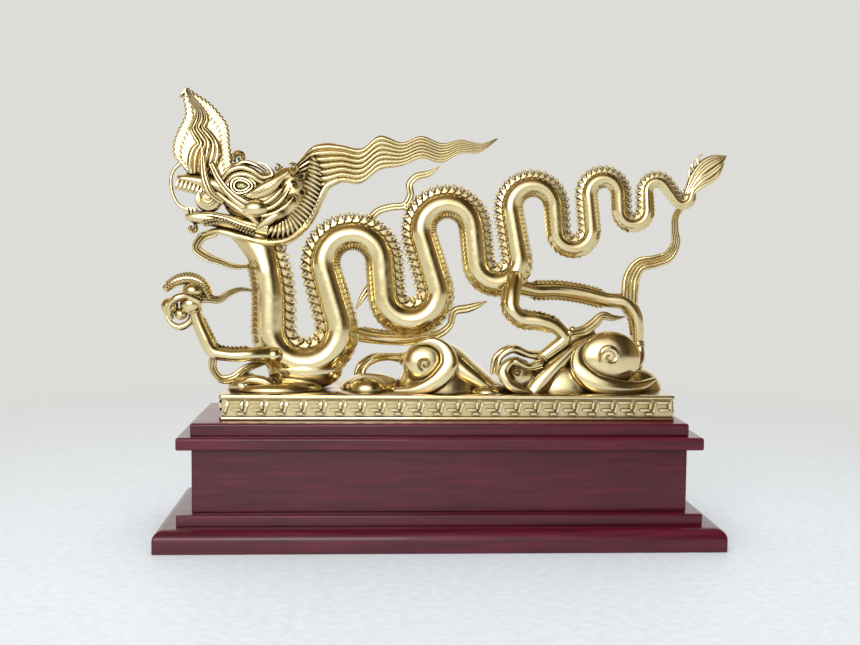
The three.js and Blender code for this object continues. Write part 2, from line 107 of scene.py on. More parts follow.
def skin(rings):
    """Closed skin over a row of rings with equal numbers of points; a fan closes each end."""
    count, sides = rings.shape[:2]
    points = np.concatenate([rings.reshape(-1, 3), rings[[0, -1]].mean(axis=1)])
    last = (count - 1) * sides
    start, end = count * sides, count * sides + 1
    faces = []
    for j in range(sides):
        k = (j + 1) % sides
        faces += [(row + j, row + sides + j, row + sides + k, row + k) for row in range(0, last, sides)]
        faces += [(start, j, k), (end, last + k, last + j)]
    return points, faces


def oval(sides):
    """Unit profile: (across, depth) points round an ellipse."""
    angle = np.arange(sides) * 2 * math.pi / sides
    return np.stack([np.cos(angle), np.sin(angle)], axis=1)


def strands(count, groove=0.4, points_each=4):
    """Unit profile of a band of rounded strands side by side, alike in front and behind."""
    across = np.linspace(1, -1, count * points_each + 1)
    bump = np.abs(np.sin(math.pi * count * (across - 1) / 2)) ** 0.7
    depth = np.maximum(1 - across**2, 0) ** 0.3 * (1 - groove + groove * bump)
    front = np.stack([across, depth], axis=1)
    back = np.stack([across, -depth], axis=1)[-2:0:-1]
    return np.concatenate([front, back])


def smooth_rows(stations, step):
    """Rows on a smooth curve through the stations, about one for each step of length."""
    rows = np.array(stations, float)
    at = np.append(0, np.cumsum(np.linalg.norm(np.diff(rows[:, :3], axis=0), axis=1)))
    slope = np.gradient(rows, at, axis=0)
    want = np.linspace(0, at[-1], max(3, round(at[-1] / step)) + 1)
    left = np.clip(np.searchsorted(at, want, side="right") - 1, 0, len(at) - 2)
    gap = (at[left + 1] - at[left])[:, None]
    t = (want - at[left])[:, None] / gap
    start = (1 + 2 * t) * (1 - t) ** 2 * rows[left] + t * (1 - t) ** 2 * gap * slope[left]
    end = t**2 * (3 - 2 * t) * rows[left + 1] + t**2 * (t - 1) * gap * slope[left + 1]
    return start + end


def sweep(stations, profile, step=2.5):
    """A band through stations [x, y, z, half-width, half-depth]; the width lies across it, upright."""
    rows = smooth_rows([row if len(row) == 5 else [*row, row[3]] for row in stations], step)
    centre = rows[:, :3]
    across = unit(np.cross(unit(np.gradient(centre, axis=0)), Y_AXIS))
    width, depth = np.maximum(rows[:, 3:], TIP).T
    sideways = across[:, None] * (width[:, None] * profile[:, 0])[..., None]
    forwards = Y_AXIS * (depth[:, None] * profile[:, 1])[..., None]
    return skin(centre[:, None] + sideways + forwards)


def ball(x, y, z, half_x, half_y, half_z, around=20, rows=11):
    pole = 0.14  # angle of the small flat at either pole
    polar = np.linspace(pole, math.pi - pole, rows)
    ring = oval(around)
    flat = np.sin(polar)[:, None, None] * np.insert(ring, 2, 0, axis=1)
    rings = flat - np.cos(polar)[:, None, None] * np.array([0, 0, 1])
    return skin(rings * np.array([half_x, half_y, half_z]) + np.array([x, y, z]))


def lathe(x, z, profile, sides=28):
    """A turned shape about a line along Y, from (radius, y) points."""
    across, up = oval(sides).T
    rings = [np.stack([x + r * across, np.full(sides, y), z + r * up], axis=1) for r, y in profile]
    return skin(np.array(rings))


def plate(outline, half_depth, edge=1.2):
    """A flat plate in the middle plane with softened edges, from [x, z] points anticlockwise."""
    outline = np.array(outline, float)
    along = unit(np.roll(outline, -1, axis=0) - np.roll(outline, 1, axis=0))
    inner = outline + edge * np.stack([-along[:, 1], along[:, 0]], axis=1)
    straight = half_depth - edge
    levels = [(inner, -half_depth), (outline, -straight), (outline, straight), (inner, half_depth)]
    rings = [np.insert(ring, 1, y, axis=1) for ring, y in levels]
    points, faces = skin(np.array(rings))
    sides = len(outline)
    caps = [tuple(range(sides)), tuple(range(3 * sides, 4 * sides))[::-1]]
    return points[:-2], [face for face in faces if len(face) == 4] + caps


def scroll(x, y, z, radius, band, depth, turns, start):
    """A scroll that winds clockwise in from its outer radius and thins towards its eye."""
    eye = 0.16  # inner end of the scroll, as a share of its start
    along = np.linspace(0, 1, round(turns * 10) + 1)
    share = 1 - (1 - eye) * along
    angle = start - 2 * math.pi * turns * along
    reach = (radius - band) * share
    half_width = band * share * np.minimum(1, 0.25 + 3 * turns * along)
    half_depth = depth * (0.55 + 0.45 * share)
    centre = [x + reach * np.cos(angle), np.full(len(along), y), z + reach * np.sin(angle)]
    step = 0.16 * radius + 0.5
    return sweep(np.stack([*centre, half_width, half_depth], axis=1), oval(8), step)


def beads(path, radius, spacing):
    """Small beads in a row along a smooth path of [x, y, z] points."""
    rows = smooth_rows(path, spacing)
    return [ball(*row, radius, radius, radius, 8, 5) for row in rows]


def mirrored(stations):
    return [[x, -y, *rest] for x, y, *rest in stations]


def both_sides(stations, profile, step=2.4):
    return [sweep(stations, profile, step), sweep(mirrored(stations), profile, step)]


def ridge(centre, outward, section):
    """Skin along a line; each point of the section has its (outward, sideways) distance at every ring."""
    rings = [centre + outward * out[:, None] + Y_AXIS * side[:, None] for out, side in section]
    return skin(np.stack(rings, axis=1))


def rounded_block(low, high, levels, radius):
    """An upright block with round corners; each level is its height and how far the outline is set in."""
    quarter = np.linspace(0, math.pi / 2, 4)
    (left, near), (right, far) = low[:2], high[:2]
    corners = [(right, far, -1, -1), (left, far, 1, -1), (left, near, 1, 1), (right, near, -1, 1)]
    rings = []
    for z, inset in levels:
        ring = []
        for turn, (x, y, in_x, in_y) in enumerate(corners):
            for angle in quarter + turn * math.pi / 2:
                corner_x = x + in_x * (inset + radius) + radius * math.cos(angle)
                corner_y = y + in_y * (inset + radius) + radius * math.sin(angle)
                ring.append((corner_x, corner_y, z))
        rings.append(ring)
    return skin(np.array(rings))


# Lines that ridges and curls run along

class Line:
    """A curve with an outward direction and a half-thickness, read at lengths along it."""

    def __init__(self, centre, outward, half):
        self.centre, self.outward, self.half = centre, outward, half
        self.lengths = np.append(0, np.cumsum(np.linalg.norm(np.diff(centre, axis=0), axis=1)))
        self.total = self.lengths[-1]

    def at(self, lengths):
        """Centre, outward direction and half-thickness at each of the lengths."""
        def read(values):
            return np.stack([np.interp(lengths, self.lengths, column) for column in values.T], axis=1)

        half = np.interp(lengths, self.lengths, self.half)
        return read(self.centre), unit(read(self.outward)), half

    def spaced(self, pitch, first, last, phase):
        """Lengths one pitch apart; the pitch goes from pitch[0] to pitch[1] along the whole line."""
        lengths = np.linspace(first, last, 2000)
        local = ramp(pitch, lengths / self.total)
        count = np.append(0, np.cumsum(np.diff(lengths) / local[1:]))
        return np.interp(np.arange(int(count[-1])) + phase, count, lengths)


def ramp(pair, share):
    return pair[0] + (pair[1] - pair[0]) * share


def scutes(line, height, pitch, first, last, notch):
    """Overlapping scutes: a ridge that rises from a notch, a share of its height, and drops at each edge."""
    low, high = (line.spaced(pitch, first, last, phase) for phase in SCUTE_RISE)
    lengths = np.stack([low, high], axis=1).ravel()
    centre, outward, half = line.at(lengths)
    taper = np.clip(np.minimum(lengths - first, last - lengths) / SCUTE_TAPER, 0.1, 1)
    rise = ramp(height, lengths / line.total) * taper * np.tile([notch, 1.0], len(low))
    wide = half * np.tile([0.74, 0.84], len(low))
    shoulder = 0.86 * half + 0.45 * rise
    return ridge(centre, outward, [
        (0.3 * half, 0 * half),
        (0.5 * half, wide),
        (shoulder, 0.62 * wide),
        (half + rise, 0.2 * wide),
        (half + rise, -0.2 * wide),
        (shoulder, -0.62 * wide),
        (0.5 * half, -wide),
    ])


# Body

def body_line():
    centre, outward, knots = [], [], []
    entry = NECK_ANGLE
    length = 0.0
    for i, (x, z, radius, half) in enumerate(BENDS):
        next_x, next_z, next_radius = BENDS[i + 1][:3] if i + 1 < len(BENDS) else (*TAIL_END, 0)
        turn = 1 if i % 2 == 0 else -1
        lean = math.acos((radius + next_radius) / math.hypot(next_x - x, next_z - z))
        leave = math.atan2(next_z - z, next_x - x) + turn * lean
        sweep_angle = (turn * (entry - leave)) % (2 * math.pi)
        angles = entry - turn * np.linspace(0, sweep_angle, max(4, round(radius * sweep_angle)))
        ray = np.stack([np.cos(angles), 0 * angles, np.sin(angles)], axis=1)
        arc = np.array([x, 0, z]) + radius * ray
        if centre:
            length += np.linalg.norm(arc[0] - centre[-1][-1])
        knots.append((length + radius * sweep_angle / 2, half))
        length += radius * sweep_angle
        centre.append(arc)
        outward.append(turn * ray)
        entry = leave + math.pi
    tail = np.array([[TAIL_END[0], 0, TAIL_END[1]]])
    centre.append(tail)
    outward.append(outward[-1][-1:])
    total = length + np.linalg.norm(tail[0] - arc[-1])
    knots = [(0, NECK_HALF), *knots, (total, TAIL_HALF)]
    line = Line(np.concatenate(centre), np.concatenate(outward), None)
    line.half = np.interp(line.lengths, *zip(*knots))
    return line


BACK = body_line()


def body():
    """The tube, with a thin fin along the back that the crest's curls stand on."""
    lengths = np.linspace(0, BACK.total, round(BACK.total / 2.6))
    centre, outward, half = BACK.at(lengths)
    ring = oval(24)
    slim = np.interp(lengths, [0, NECK_SLIM], [NECK_END_DEPTH, 1]) * half
    out = outward[:, None] * (half[:, None] * ring[:, 0])[..., None]
    deep = Y_AXIS * (slim[:, None] * ring[:, 1])[..., None]
    tube = skin(centre[:, None] + out + deep)

    lengths = np.linspace(CREST_FROM, BACK.total - FIN_MARGIN, round(BACK.total / 3))
    centre, outward, half = BACK.at(lengths)
    top = half + FIN_HEIGHT * ramp(CREST_HEIGHT, lengths / BACK.total)
    root = 0.8 * half
    thick = np.minimum(FIN_HALF, 0.4 * half)
    fin = ridge(centre, outward, [(top, 0.5 * thick), (root, thick), (root, -thick), (top, -0.5 * thick)])
    return [tube, fin]


# One curl of the crest, along the back and up from it: a leaf that rises and winds into an eye
CURL = [
    (-0.8, -0.05), (-0.4, 0.28), (-0.12, 0.7), (0.2, 0.96), (0.52, 0.86), (0.62, 0.56), (0.42, 0.32),
    (0.16, 0.42), (0.2, 0.64), (0.36, 0.6),
]
CURL_HALF = (0.1, 0.13, 0.14, 0.14, 0.13, 0.12, 0.11, 0.1, 0.09, 0.09)  # stroke, as a share of the height


def crest():
    """Curls evenly spaced along the middle of the crest, which is shorter inside a bend."""
    height = ramp(CREST_HEIGHT, BACK.lengths / BACK.total)
    lift = BACK.half + CREST_MIDDLE * height
    middle = Line(BACK.centre + BACK.outward * lift[:, None], BACK.outward, height)
    lengths = middle.spaced(CREST_PITCH, CREST_FROM + CREST_MARGIN, middle.total - CREST_MARGIN, 0.5)
    reach, rise = np.array(CURL).T
    shells = []
    for length, pitch in zip(lengths, ramp(CREST_PITCH, lengths / middle.total)):
        centre, outward, tall = middle.at(length + reach * pitch)
        points = centre + outward * ((rise - CREST_MIDDLE) * tall)[:, None]
        stroke = np.column_stack([points, np.array(CURL_HALF) * tall, np.minimum(2.6, 0.3 * tall)])
        shells.append(sweep(stroke, oval(5), 1.5))
    return shells


def belly():
    line = Line(BACK.centre, -BACK.outward, BACK.half)
    return [scutes(line, BELLY_HEIGHT, BELLY_PITCH, BELLY_FROM, BACK.total - BELLY_MARGIN, BELLY_NOTCH)]


# Tail tuft: hairs that draw together in a tip blown back, and barbs on its upper side
TAIL_HAIRS = [
    [[231, 0, 316, 2.5], [238, -1, 334, 3], [247, -1, 345, 3.2], [257, -1, 350, 2.5], [267, -1, 351.5, 0.5]],
    [[233, 0, 317, 3], [241, -2, 332, 3.4], [250, -2, 341, 3.4], [259, -2, 346.5, 2.6], [268, -1, 351, 0.5]],
    [[235, 0, 318, 3], [244, -2, 329, 3.4], [253, -2, 335, 3.2], [260, -2, 341, 2.6], [267, -1, 349, 0.5]],
    [[236, 0, 316, 2.5], [246, -1, 324.5, 3], [255, -1, 329, 2.8], [261, -1, 335, 2.2], [266, -1, 345, 0.5]],
]
TAIL_HAIR_DEPTH = 2.2
TAIL_BARBS = [
    [[235, 0, 329, 2], [233, 0, 336, 1.4], [235, 0, 343, 0.4]],
    [[238, 0, 337, 2], [236, 0, 343, 1.4], [239, 0, 349, 0.4]],
    [[242, 0, 343, 2], [241, 0, 349, 1.4], [246, 0, 353, 0.4]],
]


def tail_tuft():
    shells = []
    for hair in TAIL_HAIRS:
        shells += both_sides([[*station, TAIL_HAIR_DEPTH] for station in hair], strands(2))
    return shells + [sweep(barb, oval(8), 1.5) for barb in TAIL_BARBS]


# Legs: stations from the body to the wrist or ankle
NEAR_FORELEG = [
    [-152, -10, 164, 8.5], [-171, -20, 165, 6.5], [-193, -22, 165, 6], [-206, -22, 168, 6.5],
    [-213, -22, 180, 6.5], [-219, -22, 194, 6], [-223, -22, 207, 6],
]
FAR_FORELEG = [
    [-87, 10, 184, 8], [-62, 22, 178, 6.5], [-31, 26, 176, 6.5], [-7, 26, 177, 6.5], [-14, 26, 165, 6],
    [-35, 26, 157, 5],
]
NEAR_HIND_LEG = [
    [73, -2, 245, 5.5], [70, -10, 236, 7.5], [66, -19, 221, 7.8], [66, -22, 208, 7.8], [74, -22, 200, 7.4],
    [92, -22, 197, 7], [108, -22, 191, 6.5], [115, -22, 183, 6.3], [104, -22, 172, 6], [91, -22, 162, 5.5],
]
FAR_HIND_LEG = [
    [72, 4, 228, 8], [93, 15, 224, 7.5], [113, 20, 224, 7.5], [136, 22, 221, 7.5], [161, 22, 215, 7.5],
    [182, 22, 211, 7.5], [190, 22, 200, 7], [192, 22, 188, 6.5], [193, 22, 172, 5.5],
]
RIDGE_HEIGHT = (3.5, 2.5)
RIDGE_PITCH = (4.6, 3.6)
RIDGE_NOTCH = 0.58
CUFFS = [  # x, y, z, direction of the limb in x and z, half-thickness
    (-223, -22, 206, (-0.3, 1), 6.2), (-34, 26, 157.5, (-1, -0.3), 5.4), (93, -22, 163.5, (-0.8, -0.7), 6.0),
    (193, 22, 173, (0, -1), 6.2),
]
CUFF_BULGE = [(-3.4, 0.8), (-2.6, 1.12), (-1.4, 1.2), (-0.2, 0.9), (1.2, 1.22), (2.6, 1.12), (3.4, 0.8)]
SHOULDER = (-152, -12, 164, 9, 9, 8)
HEEL_SPURS = [(119, -24, 187, 3.4), (122, -22, 190, 2.8)]  # x, y, z, radius


def leg(stations, ridges):
    """A limb with scaled ridges: each ridge is (side, from, to) with shares of the limb's length."""
    rows = smooth_rows(stations, 1.0)
    across = unit(np.cross(unit(np.gradient(rows[:, :3], axis=0)), Y_AXIS))
    shells = [sweep(stations, oval(18), 2.2)]
    for side, first, last in ridges:
        line = Line(rows[:, :3], side * across, 0.92 * rows[:, 3])
        ends = first * line.total, last * line.total
        shells.append(scutes(line, RIDGE_HEIGHT, RIDGE_PITCH, *ends, RIDGE_NOTCH))
    return shells


def cuff(x, y, z, along, half):
    """Two rounded rings round a limb's end."""
    dx, dz = np.array(along) / math.hypot(*along)
    return sweep([[x + t * dx, y, z + t * dz, half * bulge] for t, bulge in CUFF_BULGE], oval(16), 0.6)


def legs():
    return [
        *leg(NEAR_FORELEG, [(-1, 0.2, 0.95)]),
        *leg(FAR_FORELEG, [(1, 0.1, 0.55), (1, 0.66, 0.98)]),
        *leg(NEAR_HIND_LEG, [(1, 0.36, 0.7), (-1, 0.14, 0.68)]),
        *leg(FAR_HIND_LEG, [(-1, 0.1, 0.62), (1, 0.1, 0.6), (-1, 0.7, 0.98)]),
        *[cuff(*place) for place in CUFFS],
        ball(*SHOULDER),
        *[ball(x, y, z, radius, radius, radius, 12, 8) for x, y, z, radius in HEEL_SPURS],
    ]


def digit(stations):
    """A finger or toe whose joints swell, with a smooth claw."""
    rows = smooth_rows(stations, 1.6)
    swell = 0.12
    joints = 1 + swell * np.cos(np.linspace(0, 4 * math.pi, len(rows)))
    rows[:, 3] = np.maximum(rows[:, 3] * joints, 0.5)
    return sweep(rows, oval(10), 1.8)


# Near forepaw, held up: round palm and knuckles, a scaled arch over them, two fingers and a thumb
FOREPAW_ARCH = [
    [-209, -22, 218, 4], [-215, -22, 229, 4.8], [-228, -22, 234, 5], [-240, -22, 231, 4.8],
    [-247, -22, 226, 4],
]
FOREPAW_SCALES = ((-4.6, -0.6), (-3.4, 3), (0, 4.8), (3.4, 3))  # rows of beads: y and z from the arch
FOREPAW_THUMB = [
    [-223, -22, 204, 3.5], [-228, -22, 194, 3.5], [-237, -22, 190, 3], [-245, -22, 195, 2.5],
    [-249, -22, 204, 1],
]
FOREPAW_BALLS = [
    (-226, -22, 211, 10, 9, 10), (-224, -22, 223, 10, 9, 8), (-245, -22, 209, 8, 8, 8),
    (-235, -22, 202, 6, 6, 5.5), (-247.5, -22, 225.5, 4, 4, 4),
]


def near_forepaw():
    def finger(y):
        return digit([
            [-217, y, 214, 3.5], [-230, 1.15 * y, 219, 3.5], [-240, 1.15 * y, 215, 3], [-245, y, 205, 2.5],
            [-243, y, 197, 1],
        ])

    scales = []
    for forward, up in FOREPAW_SCALES:
        scales += beads([[x, y + forward, z + up] for x, y, z, _ in FOREPAW_ARCH], 1.5, 2.8)
    return [
        *[ball(*place) for place in FOREPAW_BALLS],
        sweep(FOREPAW_ARCH, oval(12), 2),
        *scales,
        finger(-28),
        finger(-16),
        digit(FOREPAW_THUMB),
    ]


# Paws spread on the ground: one digit of each, its knuckle raised and its claw turned down
NEAR_HIND_DIGIT = [
    [95, -22, 165, 4.5], [80, -24, 167, 4], [63, -26, 172, 3.5], [51, -26, 165, 3], [47, -26, 148, 1],
]
NEAR_HIND_THUMB = [
    [93, -28, 159, 4.2], [80, -32, 156, 3.8], [68, -34, 161, 3.2], [58, -34, 157, 2.6], [54, -33, 145, 1],
]
FAR_FORE_DIGIT = [
    [-33, 26, 158, 4.5], [-50, 24, 159, 4], [-63, 22, 158, 3.5], [-74, 20, 151, 3], [-79, 18, 138, 1],
]
FAR_HIND_DIGIT = [[193, 22, 175, 5], [195, 19, 164, 4], [191, 15, 154, 3.5], [185, 12, 142, 1]]


def spread_paw(stations, spread):
    """Digits side by side: each has its claw's shift in y and its reach as a share of the stations'."""
    shares = np.linspace(0, 1, len(stations))
    start = stations[0][0]
    shells = []
    for shift, reach in spread:
        shells.append(digit([
            [start + (x - start) * reach, y + shift * share, z, w]
            for (x, y, z, w), share in zip(stations, shares)
        ]))
    return shells


def spread_paws():
    return [
        *spread_paw(NEAR_HIND_DIGIT, [(-6, 0.9), (-1, 1), (10, 0.92)]),
        digit(NEAR_HIND_THUMB),
        *spread_paw(FAR_FORE_DIGIT, [(-10, 0.85), (2, 1), (14, 0.9)]),
        *beads([[x, y - 3, z + 3] for x, y, z, _ in FAR_FORE_DIGIT[:4]], 1.5, 3),
        *spread_paw(FAR_HIND_DIGIT, [(-10, 1), (0, -0.2), (12, 0.8)]),
    ]


# Flame ribbons that trail from the limbs and the body: number of strands, stations
RIBBONS = {
    "forepaw": (3, [
        [-222, -20, 216, 4, 3], [-210, -19, 216, 4.2, 3], [-202, -17, 215, 3.8, 3],
        [-192, -14, 221, 3.2, 2.5], [-183, -11, 224, 2.5, 2], [-168, -6, 222, 1, 1.2],
    ]),
    "elbow": (3, [
        [-206, -22, 165, 4, 3], [-206, -22, 151, 4, 3], [-199, -22, 143, 4, 3], [-188, -21, 144, 4.5, 3],
        [-179, -19, 151, 4, 3], [-160, -12, 158, 3, 3],
    ]),
    "shoulder": (2, [
        [-68, 4, 284, 4, 2.5], [-57, 6, 297, 3.5, 2.5], [-44, 6, 301, 3.5, 2.5], [-32, 6, 303, 3.5, 2.5],
        [-27, 6, 312, 3.5, 2.5], [-28, 6, 322, 3.5, 2.5], [-22, 6, 329, 3.5, 2.5], [-11, 6, 332, 3, 2],
        [1, 6, 339, 0.5, 1],
    ]),
    "shoulder_root": (2, [[-33, 6, 302, 4, 2.5], [-22, 5, 298, 4, 2.5], [-14, 3, 290, 3, 2.5]]),
    "loop": (2, [[-77, 8, 206, 1, 1], [-72, 9, 215, 3, 2.5], [-65, 10, 225, 4, 3], [-55, 8, 237, 4, 3]]),
    "far_elbow": (2, [
        [-9, 22, 178, 4.5, 3], [3, 20, 182, 4, 3], [12, 20, 190, 3.5, 3], [16, 20, 203, 4, 3],
        [29, 20, 206, 4, 2.5], [38, 20, 209, 3, 2], [47, 20, 213, 0.6, 1],
    ]),
    "hock": (3, [
        [116, -21, 185, 4, 4], [125, -20, 187, 4.5, 4], [134, -19, 189, 5, 3.5], [143, -18, 195, 5, 3],
        [151, -17, 202, 4.2, 2.5], [161, -16, 200, 3, 2], [172, -15, 201, 0.6, 1],
    ]),
    "knee": (5, [
        [184, 21, 209, 8.5, 5], [184, 20, 222, 8.5, 4.5], [185, 20, 235, 8.5, 4], [192, 18, 248, 7.5, 4],
        [206, 15, 252, 6.5, 4], [218, 11, 257, 6, 3.5], [224, 8, 269, 5, 3], [222, 5, 282, 4, 3],
        [222, 3, 294, 3.5, 2.5], [230, 0, 308, 3, 2.5],
    ]),
}


def ribbons():
    return [sweep(stations, strands(count), 2.4) for count, stations in RIBBONS.values()]


# Head: skull, jaws, teeth and the ringed pearl in the mouth
SKULL = (-163, 0, 307, 37, 12.5, 25)
NAPE = (-137, 0, 312, 23, 11, 25)
PEARL_PLACE = (-212, 307)
PEARL_RINGS = [  # radius, y: from the front to the middle
    (0.5, -11.4), (2.2, -11), (3, -9.6), (4.4, -9.6), (5.6, -10.8), (7, -10.2), (7.8, -8.4), (9.4, -8.2),
    (11, -8), (12.6, -5.4), (13, 0),
]
UPPER_JAW = [[-240, 0, 325, 3.5, 8], [-229, 0, 324, 5.5, 9], [-214, 0, 321, 8.5, 11], [-194, 0, 316, 12, 13]]
LOWER_JAW = [
    [-233, 0, 290, 3.5, 6], [-228, 0, 290, 5.2, 7.5], [-216, 0, 289, 6.5, 9], [-200, 0, 286.5, 7, 10.5],
    [-184, 0, 283.5, 8, 12], [-158, 0, 281, 11, 12],
]
UPPER_TEETH = [(-240 + 3.6 * i, 322 - 0.9 * i) for i in range(7)]
LOWER_TEETH = [(-231 + 3.4 * i, 295 - 0.3 * i) for i in range(3)]


def head_core():
    pearl = PEARL_RINGS + [(radius, -y) for radius, y in PEARL_RINGS[-2::-1]]
    teeth = []
    for x, z in UPPER_TEETH:
        tooth = [[x + 1.5, -7, z + 2, 1.6], [x, -8.4, z - 3, 1.5], [x - 1.5, -8.4, z - 7.5, 0.8]]
        teeth += both_sides(tooth, oval(6))
    for x, z in LOWER_TEETH:
        tooth = [[x, -5, z - 3, 1.6], [x, -6.4, z + 1, 1.4], [x - 1, -6.4, z + 4, 0.6]]
        teeth += both_sides(tooth, oval(6))
    chin_curl = scroll(-228, 0, 280, 8, 3.4, 5, 1.1, 1.2)
    return [
        ball(*SKULL, 28, 15),
        ball(*NAPE, 24, 13),
        lathe(*PEARL_PLACE, pearl),
        sweep(UPPER_JAW, oval(16)),
        sweep(LOWER_JAW, oval(16)),
        chin_curl,
        *teeth,
    ]


# Flame above the nose: [x, z] points up the edges of the flame and of the leaf behind it
FLAME_LEFT = [
    [-229.5, 329], [-231, 341], [-228.5, 350], [-223, 356], [-227, 364], [-229, 370], [-225.5, 378],
    [-223.5, 384], [-229, 394], [-232.5, 405],
]
FLAME_RIGHT = [
    [-208, 331], [-202, 343], [-200.5, 350], [-203, 358], [-208.5, 366], [-214, 371.5], [-211.5, 379],
    [-215, 387], [-221, 394], [-231, 406],
]
FLAME_BANDS = (0.17, 0.5, 0.83)  # where each band runs between the flame's left and right edges
HEAD_CREST_LEFT = [
    [-222, 322], [-229.5, 329], [-236.5, 338], [-243, 346], [-243.5, 355], [-240, 366], [-232.5, 382.5],
    [-234.5, 400.5], [-234, 407.5],
]
HEAD_CREST_RIGHT = [
    [-234, 407.5], [-221, 399], [-212.5, 393.5], [-200, 380], [-196.5, 375], [-194.5, 366.5], [-194, 357.5],
    [-191, 335], [-189, 325],
]
LACE_SPACING = 4.4


def head_crest():
    """A leaf with a lace edge of beads and short barbs, and the wavy bands of the flame on it."""
    def edge(points, step):
        return smooth_rows([[x, 0, z] for x, z in points], step)

    left, right = edge(HEAD_CREST_LEFT, 4), edge(HEAD_CREST_RIGHT, 4)
    outline = np.concatenate([right[::-1], left[::-1][1:]])[:, [0, 2]]
    shells = [plate(outline, 2.4)]
    for line, lean in ((edge(HEAD_CREST_LEFT, LACE_SPACING), 1), (edge(HEAD_CREST_RIGHT, LACE_SPACING), -1)):
        for x, _, z in line[1:-1]:
            barb = [
                [x + 1.5 * lean, -2, z - 1, 1.2], [x + 5 * lean, -2.4, z - 2.5, 1.4],
                [x + 8 * lean, -2.2, z - 7, 0.5],
            ]
            shells.append(ball(x + 0.6 * lean, 0, z, 2.3, 2.9, 2.3, 10, 6))
            shells += both_sides(barb, oval(6))
    left, right = np.array(FLAME_LEFT, float), np.array(FLAME_RIGHT, float)
    half = np.linalg.norm(right - left, axis=1) / 6
    for share in FLAME_BANDS:
        x, z = (left + share * (right - left)).T
        forward = -3.2 - 0.22 * half * (3 - 4 * abs(share - 0.5))
        band = np.column_stack([x, forward, z, 1.08 * half, np.minimum(3.6, half + 0.8)])
        shells += both_sides(band.tolist(), strands(2, 0.5), 2.4)
    return shells


# Features alike on both sides of the head: (stations, profile)
LEAF = oval(10)
HEAD_RELIEF = [
    # tusk blade
    ([[-217, -11, 353, 0.8, 1.5], [-216, -12, 341, 2.5, 2.5], [-214, -13, 324, 3.6, 3],
      [-209, -13, 312, 3.6, 3], [-198, -11, 303, 2.6, 3]], strands(2, 0.3)),
    # upper lip, which widens into the cheek
    ([[-209, -9, 338, 3, 3], [-201, -11.5, 323, 3.6, 3], [-192, -12.5, 312, 4, 3.2], [-180, -13, 303, 5.6, 4],
      [-168, -11, 298, 6.4, 4]], strands(2, 0.35)),
    # gum behind the upper lip and the corner of the mouth
    ([[-204, -8, 312, 2.4, 3], [-192, -10, 303, 2.6, 3], [-180, -11, 295, 2.8, 3], [-171, -11, 289, 3.2, 3],
      [-166, -10, 284, 3.2, 3]], LEAF),
    ([[-226, -6, 292, 2, 2.5], [-210, -8, 292.5, 2.4, 3], [-196, -10, 290, 2.6, 3], [-182, -11.5, 285, 3, 3],
      [-168, -11.5, 281, 3.6, 3]], strands(2, 0.4)),
    # brow bands and the horn they end in
    ([[-200, -10, 322, 2.2, 2.5], [-192, -12.5, 331.5, 2.6, 3], [-182, -13, 335, 2.8, 3],
      [-171, -13, 332, 2.8, 3], [-161, -12, 326, 2.6, 3], [-153.5, -11, 328.5, 2.2, 3],
      [-157, -11, 335.5, 1.6, 3], [-166, -10, 340, 0.5, 2]], LEAF),
    ([[-197, -11, 318, 2, 2.5], [-190, -13, 326, 2.4, 3], [-181, -13.5, 329, 2.6, 3],
      [-171, -13.5, 326.5, 2.6, 3], [-161, -12.5, 321, 2.2, 3], [-152, -12, 322, 1.6, 2.5],
      [-146, -11, 328, 0.5, 2]], LEAF),
    ([[-188, -9, 336, 2, 3], [-179, -10, 340, 2.2, 3], [-168, -10, 337, 2, 3],
      [-160, -9, 332, 1.6, 3]], LEAF),
    # ear, its rib, and the hair below it
    ([[-176, -12.5, 309, 2.5, 2.5], [-163, -14, 314, 6.4, 3], [-153, -15, 320, 5.4, 2.6],
      [-139, -15, 331, 0.6, 1.2]], LEAF),
    ([[-172, -15, 310.5, 1.2, 2], [-160, -17, 315.5, 1.5, 2], [-150, -17, 322, 1.3, 1.6],
      [-140, -15, 330, 0.5, 1]], LEAF),
    ([[-165, -12, 301, 2, 2.5], [-156, -13.5, 305, 2.2, 2.6], [-148, -13, 312, 2, 2.4],
      [-141, -12, 321, 0.5, 1.6]], LEAF),
    ([[-164, -12, 296, 2, 2.5], [-153, -13, 299.5, 2.2, 2.6], [-144, -13, 307, 2, 2.4],
      [-137, -12, 318, 0.5, 1.6]], LEAF),
    ([[-163, -12, 291, 2, 2.5], [-151, -13, 294, 2.2, 2.6], [-141, -13, 300.5, 2, 2.4],
      [-133, -12, 310, 0.5, 1.6]], LEAF),
    # leaf at the root of the comb
    ([[-167, -10, 281, 2.5, 2.5], [-156, -12, 288, 4, 2.8], [-143, -13, 298, 0.6, 1.4]], LEAF),
]
CHEEK_BEADS = [
    [-197, -12, 318], [-189, -13, 310.5], [-176, -13.5, 309], [-166, -13, 305], [-162, -12.5, 297],
    [-163, -12, 285],
]
JAW_BEADS = [
    [-216, -9.5, 285.5], [-205, -11, 288], [-194, -12, 287.5], [-184, -12.5, 282], [-172, -12.5, 278.5],
]
LOWER_JAW_BEADS = [[x + 1, y + 0.5, z - 3.2] for x, y, z in JAW_BEADS]
BEAD_SPACING = 2.9
TEMPLE_CURLS = [  # x, z, radius, start of the turn
    (-149, 335, 5.5, 2.0), (-135, 334, 8, 2.2), (-133, 320, 6.5, 2.6), (-146, 318, 5, 2.4),
    (-127, 327, 5, 2.6), (-134, 306, 7.5, 3.2), (-126, 312, 4.5, 3.0), (-144, 294, 5, 3.4),
]
EYE = (-181, 318.5)
EYELIDS = ((6.8, 4.6, 14), (9.6, 6.8, 13), (12.4, 9, 12))  # half-length, half-height, y


